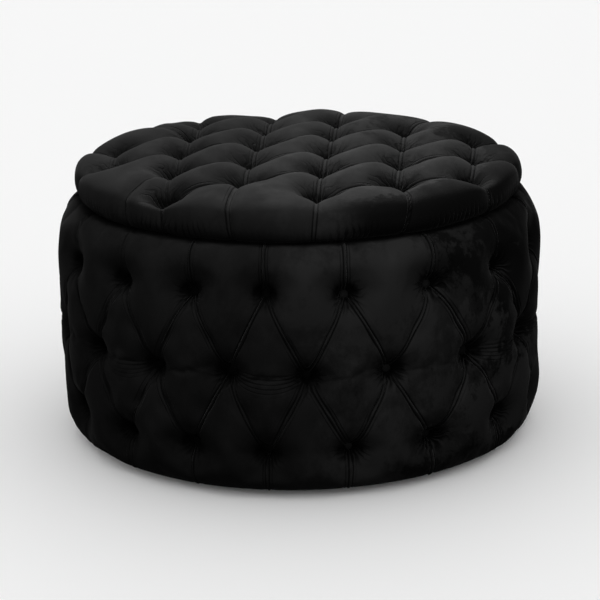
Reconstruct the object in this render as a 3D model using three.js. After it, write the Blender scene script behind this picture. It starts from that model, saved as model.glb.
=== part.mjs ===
// Round storage ottoman in deep-buttoned velvet, in millimetres, with +Z up.
// A padded drum stands on six glides and holds a lined storage cavity. A padded lid rests on the drum's
// rim, kept central by a ring on its underside, and lifts straight off.
// The origin is on the floor, under the centre of the drum.
import * as THREE from "three";

// Outer shape, measured over the velvet.
const DRUM_RADIUS = 425; // the drum's widest line
const FOOT_RADIUS = 397; // where the rounded foot turns under the drum
const FOOT_ROUND = 106; // height of the foot's rounding
const RIM_RADIUS = 383; // outer edge of the rim's level top
const RIM_ROUND = 123; // height of the rounding below the rim
const RIM_HEIGHT = 421; // top of the rim, where the lid rests
const LID_RADIUS = 388; // the lid's widest line
const LID_EDGE_HEIGHT = 38; // from the rim to the lid's widest line
const LID_FOOT_RADIUS = 376; // where the lid's edge turns under the board
const LID_CROWN_RADIUS = 278; // where the lid's top begins to fall away
const LID_HEIGHT = 79; // from the rim to the top of the lid

// Material thicknesses and clearances.
const GAP = 0.3; // kept between pieces that touch
const VELVET = 2;
const LINING = 2;
const DUST_CLOTH = 1;
const BOARD = 15;
const BENT_BOARD = 5;
const STORAGE_FLOOR = 5;
const RIM_FOAM = 5.4;

// Frame.
const CAVITY_RADIUS = 333.7; // inner face of the lining
const LINING_TOP = 389.7; // the lining's upper edge, under the velvet that comes over the rim
const SIDE_RETURN_RADIUS = 345; // inner edge of the velvet turned under the base board
const FRAME_RADIUS = 366; // outer edge of the boards and rings inside the bent wall
const FRAME_INNER_RADIUS = CAVITY_RADIUS + LINING + GAP;
const MIDDLE_RING_HEIGHT = 195;
const POST_COUNT = 8;
const POST_WIDTH = 40;
const POST_DEPTH = 28;
const POST_SETBACK = 1; // from the rings' inner edge

// Floor fittings.
const GLIDE_COUNT = 6;
const GLIDE_PITCH_RADIUS = 300;
const GLIDE_RADIUS = 20;
const GLIDE_HEIGHT = 9;
const GLIDE_CHAMFER = 3;
const GLIDE_RECESS_DEPTH = 4.5;

// Lid.
const LID_BOARD_RADIUS = 372;
const LID_LINING_RADIUS = 334.7;
const LOCATING_RING_OUTER = 324;
const LOCATING_RING_INNER = 300;
const LOCATING_RING_HEIGHT = 20;
const LID_SCREW_COUNT = 6;

// Pan-head wood screws.
const SCREW_HEAD_RADIUS = 5.2;
const SCREW_HEAD_HEIGHT = 2.7;
const SCREW_CROWN_RADIUS = 3.6;
const SCREW_SHANK_RADIUS = 2.2;
const SCREW_TIP = 3;
const SCREW_HOLE_RADIUS = 2.7;
const HEAD_HOLE_RADIUS = 6;
const GLIDE_SCREW_LENGTH = 17;
const LID_SCREW_LENGTH = 33;

// Fineness of the faceted surfaces.
const DRUM_SIDES = 40;
const SMALL_SIDES = 16;
const SCREW_SIDES = 8;
const ARC_STEPS = 4;

// Heights that follow from the stack of layers under and over the boards.
const DUST_CLOTH_BASE = GLIDE_HEIGHT + GAP;
const UNDERSIDE = DUST_CLOTH_BASE + DUST_CLOTH + GAP;
const BASE_BOARD_BASE = UNDERSIDE + VELVET + GAP;
const BASE_BOARD_TOP = BASE_BOARD_BASE + BOARD;
const LOWER_RING_BASE = BASE_BOARD_TOP + GAP;
const UPPER_RING_TOP = RIM_HEIGHT - VELVET - GAP - RIM_FOAM - GAP;
const UPPER_RING_BASE = UPPER_RING_TOP - BOARD;
const LID_UNDERSIDE = GAP;
const LID_BOARD_BASE = LID_UNDERSIDE + VELVET + GAP;
const LID_BOARD_TOP = LID_BOARD_BASE + BOARD;

const MATERIALS = {
  velvet: new THREE.MeshStandardMaterial({ color: 0x121213, roughness: 0.85, metalness: 0 }),
  foam: new THREE.MeshStandardMaterial({ color: 0xd9cfa8, roughness: 0.95, metalness: 0 }),
  plywood: new THREE.MeshStandardMaterial({ color: 0xb98f5e, roughness: 0.7, metalness: 0 }),
  pine: new THREE.MeshStandardMaterial({ color: 0xcfa873, roughness: 0.7, metalness: 0 }),
  hardboard: new THREE.MeshStandardMaterial({ color: 0x7a5234, roughness: 0.8, metalness: 0 }),
  lining: new THREE.MeshStandardMaterial({ color: 0x1c1c1e, roughness: 0.9, metalness: 0 }),
  dustCloth: new THREE.MeshStandardMaterial({ color: 0x151515, roughness: 0.95, metalness: 0 }),
  plastic: new THREE.MeshStandardMaterial({ color: 0x1a1a1a, roughness: 0.5, metalness: 0 }),
  steel: new THREE.MeshStandardMaterial({ color: 0xb8bcc0, roughness: 0.35, metalness: 1 }),
};

function piece(name, material, geometry, z = 0) {
  const mesh = new THREE.Mesh(geometry, material.clone());
  mesh.name = name;
  mesh.position.z = z;
  return mesh;
}

function standing(mesh, { x, y }) {
  mesh.position.x = x;
  mesh.position.y = y;
  return mesh;
}

// Corners of a level circle, as a closed outline.
function circle(radius, sides, x = 0, y = 0) {
  return Array.from({ length: sides }, (_, i) => {
    const angle = (i / sides) * 2 * Math.PI;
    return new THREE.Vector2(x + radius * Math.cos(angle), y + radius * Math.sin(angle));
  });
}

// Evenly spaced places round the axis, the first one half a step from +X.
function placesRound(count, pitchRadius) {
  return Array.from({ length: count }, (_, i) => {
    const angle = ((i + 0.5) / count) * 2 * Math.PI;
    return { x: pitchRadius * Math.cos(angle), y: pitchRadius * Math.sin(angle), angle };
  });
}

// A level board with a round outline, an optional round opening and small round holes.
function board(name, material, thickness, z, { radius, opening = 0, holes = [], holeRadius = 0 }) {
  const outline = new THREE.Shape(circle(radius, DRUM_SIDES));
  if (opening) outline.holes.push(new THREE.Path(circle(opening, DRUM_SIDES)));
  for (const { x, y } of holes) {
    outline.holes.push(new THREE.Path(circle(holeRadius, SCREW_SIDES, x, y)));
  }
  const geometry = new THREE.ExtrudeGeometry(outline, { depth: thickness, bevelEnabled: false });
  return piece(name, material, geometry, z);
}

// A solid of revolution about Z. The outline's points give radius and height, and run from axis to axis
// or close on themselves.
function turned(name, material, outline, sides = DRUM_SIDES, z = 0) {
  const points = outline.map(([radius, height]) => new THREE.Vector2(radius, height));
  const onAxis = outline[0][0] === 0;
  if (!onAxis) points.push(points[0].clone());
  if (THREE.ShapeUtils.isClockWise(points)) points.reverse();
  const geometry = new THREE.LatheGeometry(points, sides).rotateX(Math.PI / 2);
  return piece(name, material, geometry, z);
}

// A plain ring with a rectangular section.
function band(name, material, inner, outer, low, high) {
  return turned(name, material, [[inner, low], [outer, low], [outer, high], [inner, high]]);
}

// A quarter of an ellipse as outline points, from `start` to `start` plus a quarter turn.
function quarter(centreRadius, centreHeight, halfWidth, halfHeight, start) {
  const curve = new THREE.EllipseCurve(
    centreRadius, centreHeight, halfWidth, halfHeight, start, start + Math.PI / 2,
  );
  return curve.getPoints(ARC_STEPS).map((point) => point.toArray());
}

// The drum's outside from the foot up to the rim, `inset` inside the velvet's outer face.
function drumOutside(inset) {
  return [
    ...quarter(
      FOOT_RADIUS, UNDERSIDE + FOOT_ROUND,
      DRUM_RADIUS - FOOT_RADIUS - inset, FOOT_ROUND - inset, -Math.PI / 2,
    ),
    ...quarter(
      RIM_RADIUS, RIM_HEIGHT - RIM_ROUND,
      DRUM_RADIUS - RIM_RADIUS - inset, RIM_ROUND - inset, 0,
    ),
  ];
}

// The lid's outside from its foot up to the middle of its top, `inset` inside the velvet's outer face.
function lidOutside(inset) {
  const foot = quarter(
    LID_FOOT_RADIUS, LID_EDGE_HEIGHT,
    LID_RADIUS - LID_FOOT_RADIUS - inset, LID_EDGE_HEIGHT - LID_UNDERSIDE - inset, -Math.PI / 2,
  );
  const shoulder = quarter(
    LID_CROWN_RADIUS, LID_EDGE_HEIGHT,
    LID_RADIUS - LID_CROWN_RADIUS - inset, LID_HEIGHT - LID_EDGE_HEIGHT - inset, 0,
  );
  return [...foot, ...shoulder.slice(1), [0, LID_HEIGHT - inset]];
}

const GLIDE_PLACES = placesRound(GLIDE_COUNT, GLIDE_PITCH_RADIUS);
const LID_SCREW_PLACES = placesRound(LID_SCREW_COUNT, (LOCATING_RING_INNER + LOCATING_RING_OUTER) / 2);

// A pan-head screw, point upwards, its head's underside at height 0.
function screw(name, place, z, length) {
  const outline = [
    [0, -SCREW_HEAD_HEIGHT],
    [SCREW_CROWN_RADIUS, -SCREW_HEAD_HEIGHT],
    [SCREW_HEAD_RADIUS, -SCREW_HEAD_HEIGHT / 2],
    [SCREW_HEAD_RADIUS, 0],
    [SCREW_SHANK_RADIUS, 0],
    [SCREW_SHANK_RADIUS, length - SCREW_TIP],
    [0, length],
  ];
  return standing(turned(name, MATERIALS.steel, outline, SCREW_SIDES, z), place);
}

// A round plastic glide with a recess for its screw's head.
function glide(name, place) {
  const section = [
    [HEAD_HOLE_RADIUS, 0],
    [GLIDE_RADIUS - GLIDE_CHAMFER, 0],
    [GLIDE_RADIUS, GLIDE_CHAMFER],
    [GLIDE_RADIUS, GLIDE_HEIGHT],
    [SCREW_HOLE_RADIUS, GLIDE_HEIGHT],
    [SCREW_HOLE_RADIUS, GLIDE_RECESS_DEPTH],
    [HEAD_HOLE_RADIUS, GLIDE_RECESS_DEPTH],
  ];
  return standing(turned(name, MATERIALS.plastic, section, SMALL_SIDES), place);
}

function floorFittings() {
  const pieces = [
    board("dust_cover", MATERIALS.dustCloth, DUST_CLOTH, DUST_CLOTH_BASE, {
      radius: (FRAME_RADIUS + FOOT_RADIUS) / 2,
      holes: GLIDE_PLACES,
      holeRadius: SCREW_HOLE_RADIUS,
    }),
  ];
  GLIDE_PLACES.forEach((place, i) => {
    pieces.push(glide(`glide_${i + 1}`, place));
    pieces.push(screw(`glide_screw_${i + 1}`, place, GLIDE_RECESS_DEPTH - GAP, GLIDE_SCREW_LENGTH));
  });
  return pieces;
}

// Upright battens between two of the plywood rings.
function posts(prefix, low, high) {
  const pitchRadius = FRAME_INNER_RADIUS + POST_SETBACK + POST_DEPTH / 2;
  return placesRound(POST_COUNT, pitchRadius).map((place, i) => {
    const geometry = new THREE.BoxGeometry(POST_DEPTH, POST_WIDTH, high - low);
    const post = piece(`${prefix}_${i + 1}`, MATERIALS.pine, geometry, (low + high) / 2);
    post.rotation.z = place.angle;
    return standing(post, place);
  });
}

function frame() {
  const ringTop = (base) => base + BOARD;
  const ring = (name, base) =>
    band(name, MATERIALS.plywood, FRAME_INNER_RADIUS, FRAME_RADIUS, base, ringTop(base));
  return [
    board("base_board", MATERIALS.plywood, BOARD, BASE_BOARD_BASE, {
      radius: FRAME_RADIUS,
      holes: GLIDE_PLACES,
      holeRadius: SCREW_HOLE_RADIUS,
    }),
    ring("lower_frame_ring", LOWER_RING_BASE),
    ring("middle_frame_ring", MIDDLE_RING_HEIGHT),
    ring("upper_frame_ring", UPPER_RING_BASE),
    ...posts("lower_post", ringTop(LOWER_RING_BASE) + GAP, MIDDLE_RING_HEIGHT - GAP),
    ...posts("upper_post", ringTop(MIDDLE_RING_HEIGHT) + GAP, UPPER_RING_BASE - GAP),
    band(
      "wall_board", MATERIALS.hardboard,
      FRAME_RADIUS + GAP, FRAME_RADIUS + GAP + BENT_BOARD, BASE_BOARD_BASE, UPPER_RING_TOP,
    ),
  ];
}

function sideFoam() {
  const inset = VELVET + GAP;
  const wall = FRAME_RADIUS + GAP + BENT_BOARD + GAP;
  const section = [
    [wall, UNDERSIDE + inset],
    ...drumOutside(inset),
    [FRAME_INNER_RADIUS, RIM_HEIGHT - inset],
    [FRAME_INNER_RADIUS, UPPER_RING_TOP + GAP],
    [wall, UPPER_RING_TOP + GAP],
  ];
  return turned("side_foam", MATERIALS.foam, section);
}

// The velvet round the drum, from under the base board, over the rim and down inside the cavity.
function sideCover() {
  const section = [
    [SIDE_RETURN_RADIUS, UNDERSIDE],
    ...drumOutside(0),
    [CAVITY_RADIUS, RIM_HEIGHT],
    [CAVITY_RADIUS, LINING_TOP + GAP],
    [CAVITY_RADIUS + VELVET, LINING_TOP + GAP],
    [CAVITY_RADIUS + VELVET, RIM_HEIGHT - VELVET],
    ...drumOutside(VELVET).reverse(),
    [SIDE_RETURN_RADIUS, UNDERSIDE + VELVET],
  ];
  return turned("side_cover", MATERIALS.velvet, section);
}

function storage() {
  const liningBase = LOWER_RING_BASE + STORAGE_FLOOR + GAP;
  return [
    board("storage_floor", MATERIALS.lining, STORAGE_FLOOR, LOWER_RING_BASE, {
      radius: CAVITY_RADIUS + LINING,
    }),
    band("cavity_lining", MATERIALS.lining, CAVITY_RADIUS, CAVITY_RADIUS + LINING, liningBase, LINING_TOP),
  ];
}

function lidFoam() {
  const inset = VELVET + GAP;
  const outline = [
    [0, LID_BOARD_TOP + GAP],
    [LID_BOARD_RADIUS + GAP, LID_BOARD_TOP + GAP],
    [LID_BOARD_RADIUS + GAP, LID_UNDERSIDE + inset],
    ...lidOutside(inset),
  ];
  return turned("lid_foam", MATERIALS.foam, outline);
}

// The velvet over the lid, turned under the edge of its board.
function lidCover() {
  const returnRadius = LID_LINING_RADIUS + GAP;
  const outline = [
    ...lidOutside(VELVET).reverse(),
    [returnRadius, LID_UNDERSIDE + VELVET],
    [returnRadius, LID_UNDERSIDE],
    ...lidOutside(0),
  ];
  return turned("lid_cover", MATERIALS.velvet, outline);
}

function lidUnderside() {
  const ringTop = LID_UNDERSIDE - GAP;
  const ringBase = ringTop - LOCATING_RING_HEIGHT;
  const screwed = { holes: LID_SCREW_PLACES, holeRadius: SCREW_HOLE_RADIUS };
  const pieces = [
    board("lid_board", MATERIALS.plywood, BOARD, LID_BOARD_BASE, { radius: LID_BOARD_RADIUS, ...screwed }),
    board("lid_lining", MATERIALS.lining, LINING, LID_UNDERSIDE, { radius: LID_LINING_RADIUS, ...screwed }),
    board("locating_ring", MATERIALS.plywood, LOCATING_RING_HEIGHT, ringBase, {
      radius: LOCATING_RING_OUTER,
      opening: LOCATING_RING_INNER,
      ...screwed,
    }),
  ];
  LID_SCREW_PLACES.forEach((place, i) => {
    pieces.push(screw(`lid_screw_${i + 1}`, place, ringBase - GAP, LID_SCREW_LENGTH));
  });
  return pieces;
}

const drum = new THREE.Group();
drum.add(...floorFittings(), ...frame(), sideFoam(), sideCover(), ...storage());

// The lid's own heights count from the rim it rests on.
const lid = new THREE.Group();
lid.position.z = RIM_HEIGHT;
lid.add(...lidUnderside(), lidFoam(), lidCover());

const ottoman = new THREE.Group();
ottoman.add(drum, lid);

export default ottoman;
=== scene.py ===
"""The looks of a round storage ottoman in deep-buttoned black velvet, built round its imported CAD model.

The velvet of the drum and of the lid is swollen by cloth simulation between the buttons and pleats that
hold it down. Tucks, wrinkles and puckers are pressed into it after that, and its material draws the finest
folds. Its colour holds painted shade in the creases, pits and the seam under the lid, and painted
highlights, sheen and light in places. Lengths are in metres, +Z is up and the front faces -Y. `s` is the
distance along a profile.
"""

import itertools
import math

import bmesh
import bpy
import numpy as np
from mathutils import Matrix, Vector


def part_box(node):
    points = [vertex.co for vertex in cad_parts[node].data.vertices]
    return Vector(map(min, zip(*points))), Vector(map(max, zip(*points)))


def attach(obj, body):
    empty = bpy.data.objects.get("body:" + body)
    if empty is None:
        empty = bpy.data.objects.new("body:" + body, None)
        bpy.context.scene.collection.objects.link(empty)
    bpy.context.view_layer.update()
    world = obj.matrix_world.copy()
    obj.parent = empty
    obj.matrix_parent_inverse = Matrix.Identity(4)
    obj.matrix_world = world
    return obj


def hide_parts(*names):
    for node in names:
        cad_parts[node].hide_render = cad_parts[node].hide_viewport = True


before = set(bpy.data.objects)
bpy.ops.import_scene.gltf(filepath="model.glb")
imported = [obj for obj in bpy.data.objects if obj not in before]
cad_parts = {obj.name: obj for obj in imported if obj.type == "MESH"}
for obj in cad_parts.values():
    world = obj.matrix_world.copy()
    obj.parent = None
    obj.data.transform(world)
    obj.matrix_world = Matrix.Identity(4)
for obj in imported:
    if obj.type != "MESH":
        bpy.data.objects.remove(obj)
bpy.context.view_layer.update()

# -------- driving dimensions

FULL_TURN = 2 * math.pi
DRUM_LOW, DRUM_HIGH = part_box("side_cover")
DRUM_RADIUS = DRUM_HIGH.x
UNDERSIDE = DRUM_LOW.z
RIM_HEIGHT = DRUM_HIGH.z
LID_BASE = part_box("lid_cover")[0].z
LINING = 0.002
VELVET = 0.002
LINING_LOW, LINING_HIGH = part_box("cavity_lining")
CAVITY_RADIUS = LINING_HIGH.x - LINING
WALL_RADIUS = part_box("wall_board")[1].x
RING_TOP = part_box("upper_frame_ring")[1].z
LID_BOARD_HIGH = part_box("lid_board")[1]
LID_LINING_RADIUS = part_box("lid_lining")[1].x
CLEARANCE = 0.0003

# Profiles of the velvet.
FOOT_RADIUS = 0.397
FOOT_ROUND = 0.106
RIM_RADIUS = 0.383
RIM_ROUND = 0.123
RETURN_RADIUS = 0.345
LID_FOOT_RADIUS = 0.369
LID_WIDEST = 0.452
LID_CREST = 0.514
LID_CREST_RADIUS = 0.392
LID_SQUARENESS = 3.2
LID_UNDERSIDE_END = 0.05

# Three staggered rows of buttons round the drum.
SIDE_BUTTONS = 18
SIDE_STEP = FULL_TURN / SIDE_BUTTONS
SIDE_PHASE = math.radians(2.8)
SIDE_DRIFT = math.radians(2.3)
SIDE_DRIFT_PLACE = math.radians(-45)
HAND_DRIFT, HAND_DRIFT_WAVES = 0.0012, (3, 5, 8, 11)
PLEAT_BOW = 0.0035
ROW_HEIGHTS = {"low": 0.079, "middle": 0.209, "high": 0.343}
ROW_PINCH = 0.004
SIDE_PIT = 0.039
SIDE_VALLEY = 0.0065
SIDE_PUCKER = 0.020
SIDE_EDGE = 0.085
VALLEY_AT_EDGE = 0.1

# A triangular lattice of buttons on the lid, turned a little.
LID_COLUMN_PITCH = 0.127
LID_BUTTON_PITCH = 0.134
LID_TURN = math.radians(5)
LID_ANCHOR = (0.055, -0.030)
LID_BUTTON_REACH = 0.360
LID_COUNTS = (6, 5)
LID_PIT = 0.054
LID_MIDDLE_DEPTH = 0.002
LID_VALLEY = 0.020
LID_VALLEY_WIDTH = 0.028
LID_OUTER_VALLEY = 0.030
LID_OUTER_VALLEY_WIDTH = 0.7 * LID_VALLEY_WIDTH
LID_OUTER_VALLEY_LENGTH = 0.045
LID_RIM_VALLEY = 0.006
LID_PUCKER = 0.029
LID_EDGE = 0.060

PIT_SHARPNESS = 1.5
# Painted shade in and round the buttons' pits, partly standing for pile pressed down there.
PIT_SHADE_EDGE = (0.010, 0.024)
PIT_HALO = (0.55, 0.034)
SIDE_PIT_SHADE, LID_PIT_SHADE = 1.2, 1.4
# The seams set painted shadow along the gap between the lid and the drum.
SIDE_SEAM, LID_SEAM, LID_HEM = (0.003, 0.007), (0.012, 0.018), (0.015, 0.050)
BUTTON_RADIUS = 0.0095
BUTTON_HEIGHT = 0.006
BUTTON_LIFT = 0.002
# Painted shade on the buttons, less on the drum's buttons right of the middle, where the light falls.
BUTTON_PAINTED_SHADE = 0.80
LIT_BUTTON_PAINTED_SHADE = 0.40
LIT_BUTTONS_FULL = 0.07

# Folds pressed into the swollen velvet. A pair is a height and a width.
TUCK_HALF_WIDTH = 0.0034
TUCK_RIDGE, TUCK_CREASE = (0.0013, 0.0022), (0.0018, 0.0014)
SECOND_CREASE_PLACE = 0.0085
SECOND_CREASE = (0.0010, 0.0015)
LOW_TUCK_SHARE = 0.7
TUCK_FADE = 0.01
OUTER_PLEAT = (0.0016, 0.006)
GATHER_HEIGHTS = (0.0008, 0.0018)
WRINKLE_HEIGHT = 0.0014
WRINKLE_SPACING, WRINKLE_SPREAD = 0.0032, 0.0040
WRINKLE_SAGS, WRINKLE_REACHES = (0.004, 0.016), (0.5, 1.7)
WRINKLE_START, WRINKLE_COUNTS = (0.009, 0.016), (1.4, 3.2)
HEM_FOLD_HEIGHT = 0.0006
HEM_FOLDS, HEM_CLUSTERS = 190, 5
SIDE_UNEVENNESS, SIDE_WAVES = 0.0012, 0.11
LID_UNEVENNESS, LID_WAVES = 0.0018, 0.12

# Grids: the simulation runs on every second line of them. Lines crowd at the pleats.
SIDE_COLUMNS = 20
SIDE_ROWS = {"low": 17, "middle": 21, "high": 21}
SIDE_COLUMN_CROWD = 0.35
LID_LINES = 22
LINE_CROWD = 0.6
ON_LINE = 1e-6
FAR_AWAY = 9.0

# The cloth, how much longer it is than its grid, how far a point may move, and where it is held.
CLOTH_SETTINGS = {
    "quality": 5, "mass": 0.3, "tension_stiffness": 15, "compression_stiffness": 15, "shear_stiffness": 8,
    "bending_stiffness": 0.4, "air_damping": 2, "vertex_group_mass": "hold", "use_pressure": True,
    "uniform_pressure_force": 6,
}
SIM_FRAMES = 24
HOLD_LEVELS = 10
SIDE_SLACK, SIDE_MOST = 0.03, 0.016
LID_SLACK, LID_MOST = 0.07, 0.024
HELD_PLEAT, HELD_EDGE = 0.0005, 0.004
OUTER_PLEAT_HOLD = (0.8, HELD_EDGE)

random = np.random.default_rng(7)


# -------- profiles

def around(r, z, angle):
    """Points round the Z axis. The angle counts from the front, towards +X."""
    return np.stack(np.broadcast_arrays(r * np.sin(angle), -r * np.cos(angle), z), -1)


def quarter(centre_r, centre_z, half_width, half_height, start):
    """A quarter of an ellipse, anticlockwise from `start`."""
    angle = start + np.linspace(0, math.pi / 2, 40)
    return np.stack([centre_r + half_width * np.cos(angle), centre_z + half_height * np.sin(angle)], 1)


class Profile:
    """A line in radius and height that is turned round the Z axis. `side` is 1 if its right is outside."""

    def __init__(self, *stretches, side):
        self.points = np.concatenate(stretches)
        steps = np.linalg.norm(np.diff(self.points, axis=0), axis=1)
        self.arc = np.concatenate([[0.0], np.cumsum(steps)])
        self.length = self.arc[-1]
        self.side = side

    def at(self, s):
        return np.stack([np.interp(s, self.arc, self.points[:, k]) for k in (0, 1)], -1)

    def normal(self, s):
        reach = 0.003
        tangent = self.at(np.minimum(s + reach, self.length)) - self.at(np.maximum(s - reach, 0))
        tangent /= np.linalg.norm(tangent, axis=-1, keepdims=True)
        return self.side * np.stack([tangent[..., 1], -tangent[..., 0]], -1)

    def arc_at_height(self, z):
        return float(np.interp(z, self.points[:, 1], self.arc))

    def turned(self, s, angle, depth):
        """Points `depth` under the turned surface."""
        rz = self.at(s) - self.normal(s) * np.asarray(depth)[..., None]
        return around(rz[..., 0], rz[..., 1], angle)

    def turned_normal(self, s, angle):
        normal = self.normal(s)
        return around(normal[..., 0], normal[..., 1], angle)


def lid_dome():
    """The lid's crown from its centre to its widest line, flat in the middle."""
    turn = np.linspace(math.pi / 2, 0, 80)
    power = 2 / LID_SQUARENESS
    r = LID_CREST_RADIUS * np.cos(turn) ** power
    z = LID_WIDEST + (LID_CREST - LID_WIDEST) * np.sin(turn) ** power
    return np.stack([r, z], 1)


side_profile = Profile(
    quarter(FOOT_RADIUS, UNDERSIDE + FOOT_ROUND, DRUM_RADIUS - FOOT_RADIUS, FOOT_ROUND, -math.pi / 2),
    quarter(RIM_RADIUS, RIM_HEIGHT - RIM_ROUND, DRUM_RADIUS - RIM_RADIUS, RIM_ROUND, 0),
    side=1,
)
lid_profile = Profile(
    lid_dome(),
    quarter(LID_FOOT_RADIUS, LID_WIDEST, LID_CREST_RADIUS - LID_FOOT_RADIUS,
            LID_WIDEST - LID_BASE, -math.pi / 2)[::-1],
    [[LID_LINING_RADIUS + CLEARANCE, LID_BASE], [LID_UNDERSIDE_END, LID_BASE]],
    side=-1,
)
LID_REACH = float(lid_profile.arc[-2])
LID_FOOT_ARC = float(lid_profile.arc[-3])


# -------- fields and grids

def smooth(value, low, high):
    """0 below `low`, 1 above `high`, and a smooth rise between them."""
    t = np.clip((value - low) / (high - low), 0, 1)
    return t * t * (3 - 2 * t)


def bell(distance, height, width):
    """A rounded ridge along a line."""
    return height * np.exp(-(distance / width) ** 2)


def wrapped(angle):
    return (angle + math.pi) % FULL_TURN - math.pi


def crowding(t, strength, waves):
    """How far to move evenly spread lines so that they crowd in some places."""
    return strength * np.sin(FULL_TURN * waves * t) / (FULL_TURN * waves)


class Waves:
    """A smooth field of a few random waves, from -1 to 1 or so, about `size` from crest to crest."""

    def __init__(self, size, count=9):
        direction = random.uniform(0, FULL_TURN, (count, 2))
        length = size * random.uniform(0.7, 1.6, count)
        lean = np.sin(direction[:, 1])
        level = np.sqrt(1 - lean ** 2)
        vector = [np.cos(direction[:, 0]) * level, np.sin(direction[:, 0]) * level, lean]
        self.vector = np.stack(vector, 1) * (FULL_TURN / length[:, None])
        self.phase = random.uniform(0, FULL_TURN, count)

    def at(self, points):
        total = sum(np.sin(points @ v + p) for v, p in zip(self.vector, self.phase))
        return total / math.sqrt(len(self.phase))


def distance_to_segments(x, y, segments):
    """Distance from each point of a plane to the nearest of the segments."""
    nearest = np.full(x.shape, FAR_AWAY)
    for (ax, ay), (bx, by) in segments:
        dx, dy = bx - ax, by - ay
        along = np.clip(((x - ax) * dx + (y - ay) * dy) / (dx * dx + dy * dy), 0, 1)
        nearest = np.minimum(nearest, np.hypot(x - ax - along * dx, y - ay - along * dy))
    return nearest


def nearest_button(offsets):
    """Distance to the nearest button, the direction away from it and its number."""
    near, turn, which = FAR_AWAY, 0.0, 0
    for number, (x, y) in enumerate(offsets):
        distance = np.hypot(x, y)
        closer = distance < near
        near = np.where(closer, distance, near)
        turn = np.where(closer, np.arctan2(y, x), turn)
        which = np.where(closer, number, which)
    return near, turn, which


def finer(points, axis, closed):
    """Twice as many lines along one axis of a grid, smoothed as a cubic spline."""
    p = np.moveaxis(points, axis, 0)
    padded = np.pad(p, [(1, 1), (0, 0), (0, 0)], mode="wrap" if closed else "edge")
    behind, ahead = padded[:-2], padded[2:]
    kept = (behind + 6 * p + ahead) / 8
    if not closed:
        kept[[0, -1]] = p[[0, -1]]
    doubled = np.stack([kept, (p + ahead) / 2], 1).reshape(-1, *p.shape[1:])
    return np.moveaxis(doubled if closed else doubled[:-1], 0, axis)


def grid_faces(rows, columns, closed):
    """Quads of a grid. `closed` joins the last column to the first."""
    index = np.arange(rows * columns).reshape(rows, columns)
    if closed:
        index = np.concatenate([index, index[:, :1]], 1)
    corners = [index[:-1, :-1], index[:-1, 1:], index[1:, 1:], index[1:, :-1]]
    return np.stack(corners, -1)


def ring_faces(rows, columns):
    """Quads of a grid that closes on itself both ways."""
    return grid_faces(rows + 1, columns, closed=True) % (rows * columns)


def store(piece, name, values, beyond=0.0):
    """Keeps a number for each point, for the materials. Points past the list's end get `beyond`."""
    full = np.full(len(piece.data.vertices), beyond, np.float32)
    full[:values.size] = values.reshape(-1)
    piece.data.attributes.new(name, "FLOAT", "POINT").data.foreach_set("value", full)


def add_object(name, data):
    made = bpy.data.objects.new(name, data)
    bpy.context.scene.collection.objects.link(made)
    return made


def new_piece(name, points, faces):
    """A mesh in the scene. A grid's faces come as an array, and any others as a list."""
    if isinstance(faces, np.ndarray):
        faces = faces.reshape(-1, 4).tolist()
    mesh = bpy.data.meshes.new(name)
    mesh.from_pydata(points.reshape(-1, 3).tolist(), [], faces)
    mesh.update()
    return add_object(name, mesh)


# -------- cloth simulation

def set_cloth(cloth, slack):
    """A soft, light cloth without gravity, swollen by air."""
    for setting, value in CLOTH_SETTINGS.items():
        setattr(cloth.settings, setting, value)
    cloth.settings.shrink_min = -slack
    cloth.settings.effector_weights.gravity = 0
    cloth.collision_settings.use_collision = False
    cloth.point_cache.frame_end = SIM_FRAMES


def inflate(points, faces, hold, slack):
    """The grid after cloth simulation. `hold` says how firmly each point stays in its place, from 0 to 1."""
    piece = new_piece("cloth_work", points, faces)
    group = piece.vertex_groups.new(name="hold")
    levels = np.round(hold.reshape(-1) * HOLD_LEVELS).astype(int)
    for level in range(1, HOLD_LEVELS + 1):
        group.add(np.flatnonzero(levels == level).tolist(), level / HOLD_LEVELS, "REPLACE")
    set_cloth(piece.modifiers.new("cloth", "CLOTH"), slack)
    scene = bpy.context.scene
    for step in range(1, SIM_FRAMES + 1):
        scene.frame_set(step)
    result = piece.evaluated_get(bpy.context.evaluated_depsgraph_get())
    swollen = np.empty(len(result.data.vertices) * 3, np.float32)
    result.data.vertices.foreach_get("co", swollen)
    scene.frame_set(1)
    mesh = piece.data
    bpy.data.objects.remove(piece)
    bpy.data.meshes.remove(mesh)
    return swollen.reshape(points.shape).astype(float)


def within(points, start, most):
    """The points moved back so that none is further than `most` from its start."""
    move = points - start
    far = np.linalg.norm(move, axis=-1, keepdims=True)
    tiny = 1e-9
    return start + move * np.minimum(1, most / np.maximum(far, tiny))


# -------- pits, tucks and gathers

def pitted(valley, pit, near, pucker):
    """The depth of a valley, with a pit in it at each button."""
    return valley + (pit - valley) * np.exp(-(near / pucker) ** PIT_SHARPNESS)


def tuck(distance):
    """Height of a narrow tuck: a rounded ridge between two creases."""
    return bell(distance, *TUCK_RIDGE) - bell(np.abs(distance) - TUCK_HALF_WIDTH, *TUCK_CREASE)


def pit_shade(near, scale):
    """Painted shade round a button, from 0 to 1, partly standing for pile pressed down in the pit."""
    near = near / scale
    return np.clip(1 - smooth(near, *PIT_SHADE_EDGE) + bell(near, *PIT_HALO), 0, 1)


def button_fields(near, turn):
    """The distance to the nearest button, and its two parts."""
    return {"button_near": near, "button_x": near * np.cos(turn), "button_y": near * np.sin(turn)}


def gathers(near, turn, which, count, rays, inner, length):
    """Height of the gathers round each button. They start `inner` from it and fade over `length`."""
    rays = random.integers(*rays, count)[which]
    phase = random.uniform(0, FULL_TURN, count)[which]
    strength = random.uniform(*GATHER_HEIGHTS, count)[which]
    uneven = 2.1 * np.sin(2 * turn + phase)
    ray = (0.5 + 0.5 * np.cos(rays * turn + phase + uneven)) ** 2
    fade = smooth(near, inner * 0.6, inner) * np.exp(-np.maximum(near - inner, 0) / length)
    return -strength * ray * fade


# -------- the drum's velvet

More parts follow.
